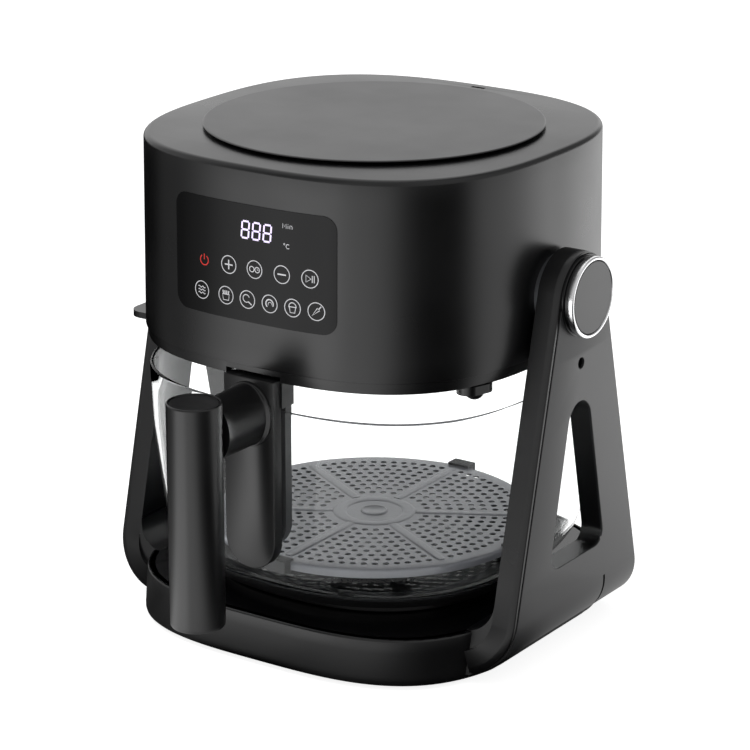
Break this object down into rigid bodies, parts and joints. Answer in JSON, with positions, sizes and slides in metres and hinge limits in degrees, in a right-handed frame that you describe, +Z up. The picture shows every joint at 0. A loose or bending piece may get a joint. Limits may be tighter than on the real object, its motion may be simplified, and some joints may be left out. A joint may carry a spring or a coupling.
{
  "type": "air fryer",
  "caption": "Countertop air fryer: a tilting heating head with a touch panel on two A-shaped stands, over a glass bowl that pulls out by its handle.",
  "frame": {"origin": "on the table under the middle of the whole machine's bounding box, with the bowl in and the head closed", "axes": "+X to the machine's right as seen from the front, +Y to its back (the handle and the touch panel face -Y), +Z up"},
  "size_m": [0.3326, 0.343, 0.3263],
  "materials": {
    "satin_black": "satin moulded plastic with a fine grain",
    "gloss_black": "polished black plastic",
    "dark_grey": "satin dark grey plastic",
    "touch_glass": "black-backed gloss panel",
    "bowl_glass": "clear borosilicate glass",
    "rubber_black": "matt black rubber",
    "silicone": "matt dark silicone",
    "nonstick": "dark non-stick coating on steel",
    "steel_bright": "bright stainless sheet",
    "steel_screw": "zinc-plated steel",
    "steel_tube": "heat-darkened sheathed element",
    "chrome_ring": "polished ring",
    "zamak": "die-cast pivot",
    "bronze": "sintered bronze bush",
    "ceramic": "heat-proof insulating body",
    "board": "green circuit board",
    "motor_can": "painted steel motor can"
  },
  "bodies": {
    "base": {"base_plinth": "satin_black", "base_deck": "gloss_black", "base_bottom": "dark_grey", "base_feet": "rubber_black", "base_screws": "steel_screw", "power_inlet": "dark_grey", "stand_frame_left": "satin_black", "stand_frame_right": "satin_black", "stand_cover_left": "dark_grey", "stand_cover_right": "dark_grey", "stand_bolts": "steel_screw", "pivot_bushes": "bronze", "cap_collars": "satin_black", "cap_rings": "chrome_ring", "cap_discs": "dark_grey", "lever_pin": "steel_screw"},
    "head": {"head_shell": "satin_black", "head_band": "satin_black", "top_disc": "dark_grey", "vent_plate": "dark_grey", "panel_glass": "touch_glass", "touch_board": "board", "display_module": "dark_grey", "touch_springs": "steel_bright", "board_screws": "steel_screw", "head_liner": "steel_bright", "liner_screws": "steel_screw", "heater_coil": "steel_tube", "heater_clips": "steel_bright", "guard_grille": "steel_bright", "motor": "motor_can", "motor_bracket": "steel_bright", "thermostat": "ceramic", "trunnions": "zamak", "trunnion_rings": "zamak", "trunnion_screws": "steel_screw", "retaining_rings": "steel_screw", "catch_block": "satin_black"},
    "fan": {"motor_shaft": "steel_screw", "hot_fan": "steel_bright", "cooling_fan": "dark_grey", "fan_nut": "steel_screw"},
    "bowl": {"glass_bowl": "bowl_glass", "bowl_foot": "rubber_black", "handle_plate": "satin_black", "handle_strap": "satin_black", "handle_arm": "satin_black", "handle_grip": "satin_black", "handle_cap": "satin_black", "handle_screws": "steel_screw", "arm_screws": "steel_screw"},
    "crisper": {"crisper_plate": "nonstick", "crisper_feet": "silicone", "crisper_bumpers": "silicone"},
    "lever": {"release_lever": "satin_black"},
    "lock": {"lock_pin": "steel_screw"},
    "catch_plunger": {"plunger": "dark_grey"}
  },
  "joints": [
    {"name": "head_tilt", "type": "hinge", "parent": "base", "child": "head", "pos_m": [0.00475, 0.0385, 0.2356], "axis": [-1, 0, 0], "range_deg": [0, 60]},
    {"name": "bowl_pull", "type": "slide", "parent": "base", "child": "bowl", "axis": [0, -1, 0], "range_m": [0, 0.3]},
    {"name": "crisper_lift", "type": "slide", "parent": "bowl", "child": "crisper", "axis": [0, 0, 1], "range_m": [0, 0.105]},
    {"name": "fan_spin", "type": "hinge", "parent": "head", "child": "fan", "pos_m": [0.00475, 0.0375, 0.25], "axis": [0, 0, 1], "continuous": true},
    {"name": "lever_press", "type": "hinge", "parent": "base", "child": "lever", "pos_m": [-0.14165, 0.0385, 0.1796], "axis": [0, -1, 0], "range_deg": [0, 8], "stiffness_Nm_per_rad": 0.4, "springref_deg": -11.46},
    {"name": "lock_draw", "type": "slide", "parent": "base", "child": "lock", "axis": [-1, 0, 0], "range_m": [0, 0.0019]},
    {"name": "plunger_push", "type": "slide", "parent": "head", "child": "catch_plunger", "axis": [0, 0, 1], "range_m": [0, 0.0025], "stiffness_N_per_m": 300, "springref_m": -0.004}
  ],
  "couplings": [
    {"joint": "bowl_pull", "follows": "head_tilt", "m_per_rad": 0.28648},
    {"joint": "lock_draw", "follows": "lever_press", "m_per_rad": 0.0135}
  ]
}
